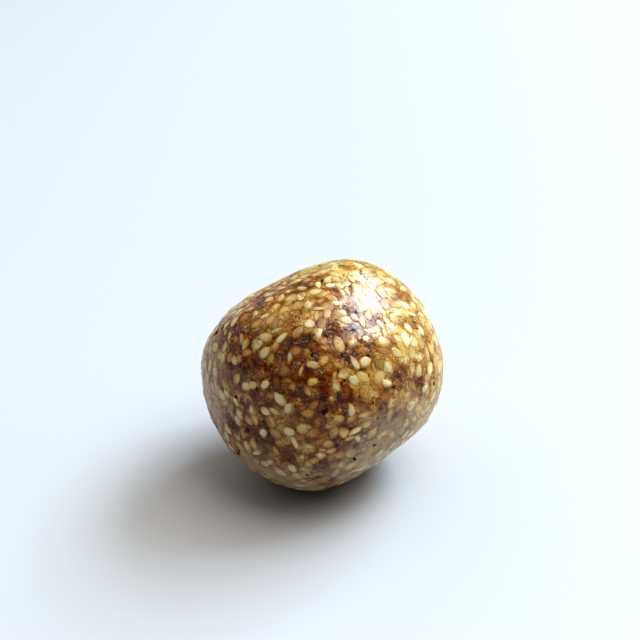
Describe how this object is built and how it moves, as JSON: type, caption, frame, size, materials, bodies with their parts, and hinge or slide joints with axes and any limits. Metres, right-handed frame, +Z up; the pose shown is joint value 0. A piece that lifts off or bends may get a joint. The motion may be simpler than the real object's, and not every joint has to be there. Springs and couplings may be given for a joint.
{
  "type": "sesame ladoo",
  "caption": "Hand-pressed round sweet of sesame seeds bound with glossy amber jaggery, with soft facets and a small flat spot to rest on.",
  "frame": {"origin": "on the surface that the ladoo rests on, under the middle of its bounding box", "axes": "+Z up, +X to the right and +Y away from the viewer of the side that shows best"},
  "size_m": [0.0481, 0.0473, 0.0447],
  "materials": {
    "jaggery": "glossy translucent amber to dark brown, with darker caramelised flecks",
    "sesame_pale": "satin cream seed under a thin film of syrup",
    "sesame_golden": "satin golden toasted seed under a thin film of syrup",
    "sesame_toasted": "satin brown, well toasted seed under a film of syrup",
    "char_specks": "matte black scorched crumb"
  },
  "bodies": {
    "root": {"ladoo": "jaggery"}
  },
  "joints": []
}
